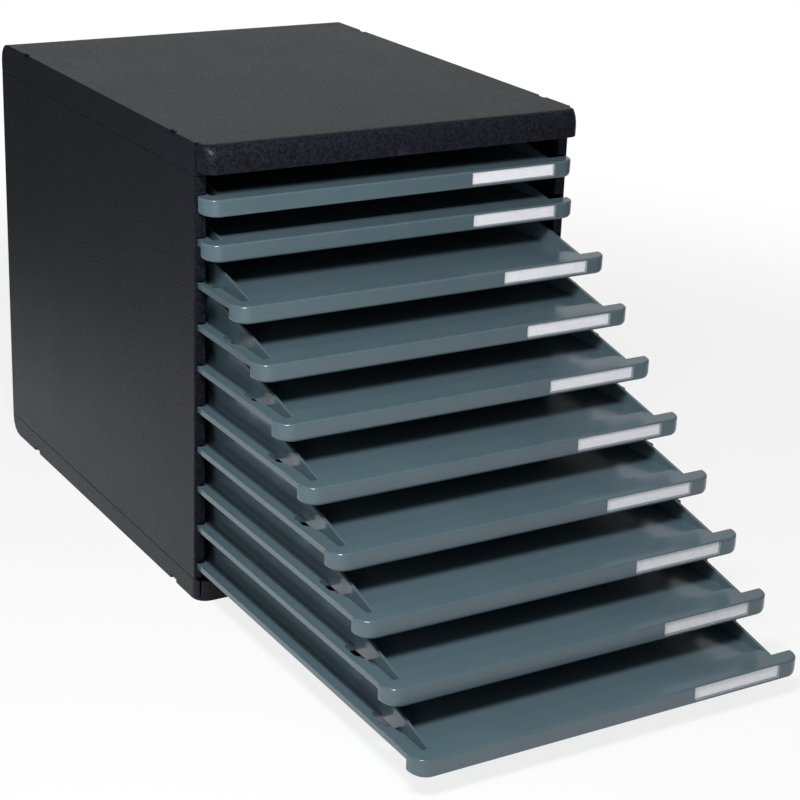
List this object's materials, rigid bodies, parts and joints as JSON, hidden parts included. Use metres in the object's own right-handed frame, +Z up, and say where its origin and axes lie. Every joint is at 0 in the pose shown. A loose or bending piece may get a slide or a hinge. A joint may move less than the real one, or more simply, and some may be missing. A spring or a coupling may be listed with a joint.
{
  "type": "desktop file drawer",
  "caption": "Desktop filing case of dark moulded plastic, with a stack of shallow slate-grey trays for A4 papers that slide out at the front and carry label windows.",
  "frame": {"origin": "centre of the case's footprint, on the flat underside of its base where it stands on the table", "axes": "+X to the right seen from the front, +Y to the back, +Z up; the trays open towards -Y"},
  "size_m": [0.288, 0.6398, 0.3197],
  "materials": {
    "case_plastic": "fine grained moulded plastic, black",
    "tray_plastic": "satin moulded plastic, slate grey",
    "window_plastic": "clear and glossy",
    "card_paper": "blank white card"
  },
  "bodies": {
    "case": {"base": "case_plastic", "top_cover": "case_plastic", "left_side_panel": "case_plastic", "right_side_panel": "case_plastic", "back_panel": "case_plastic"},
    "drawer_01": {"tray_01": "tray_plastic", "label_window_01": "window_plastic", "label_card_01": "card_paper"},
    "drawer_02": {"tray_02": "tray_plastic", "label_window_02": "window_plastic", "label_card_02": "card_paper"},
    "drawer_03": {"tray_03": "tray_plastic", "label_window_03": "window_plastic", "label_card_03": "card_paper"},
    "drawer_04": {"tray_04": "tray_plastic", "label_window_04": "window_plastic", "label_card_04": "card_paper"},
    "drawer_05": {"tray_05": "tray_plastic", "label_window_05": "window_plastic", "label_card_05": "card_paper"},
    "drawer_06": {"tray_06": "tray_plastic", "label_window_06": "window_plastic", "label_card_06": "card_paper"},
    "drawer_07": {"tray_07": "tray_plastic", "label_window_07": "window_plastic", "label_card_07": "card_paper"},
    "drawer_08": {"tray_08": "tray_plastic", "label_window_08": "window_plastic", "label_card_08": "card_paper"},
    "drawer_09": {"tray_09": "tray_plastic", "label_window_09": "window_plastic", "label_card_09": "card_paper"},
    "drawer_10": {"tray_10": "tray_plastic", "label_window_10": "window_plastic", "label_card_10": "card_paper"}
  },
  "joints": [
    {"name": "slide_01", "type": "slide", "parent": "case", "child": "drawer_01", "axis": [0, -1, 0], "range_m": [0, 0.285]},
    {"name": "slide_02", "type": "slide", "parent": "case", "child": "drawer_02", "axis": [0, -1, 0], "range_m": [-0.0041, 0.2809]},
    {"name": "slide_03", "type": "slide", "parent": "case", "child": "drawer_03", "axis": [0, -1, 0], "range_m": [-0.0454, 0.2396]},
    {"name": "slide_04", "type": "slide", "parent": "case", "child": "drawer_04", "axis": [0, -1, 0], "range_m": [-0.07581, 0.20919]},
    {"name": "slide_05", "type": "slide", "parent": "case", "child": "drawer_05", "axis": [0, -1, 0], "range_m": [-0.10591, 0.17909]},
    {"name": "slide_06", "type": "slide", "parent": "case", "child": "drawer_06", "axis": [0, -1, 0], "range_m": [-0.1407, 0.1443]},
    {"name": "slide_07", "type": "slide", "parent": "case", "child": "drawer_07", "axis": [0, -1, 0], "range_m": [-0.17659, 0.10841]},
    {"name": "slide_08", "type": "slide", "parent": "case", "child": "drawer_08", "axis": [0, -1, 0], "range_m": [-0.21121, 0.07379]},
    {"name": "slide_09", "type": "slide", "parent": "case", "child": "drawer_09", "axis": [0, -1, 0], "range_m": [-0.2443, 0.0407]},
    {"name": "slide_10", "type": "slide", "parent": "case", "child": "drawer_10", "axis": [0, -1, 0], "range_m": [-0.2785, 0.0065]}
  ]
}
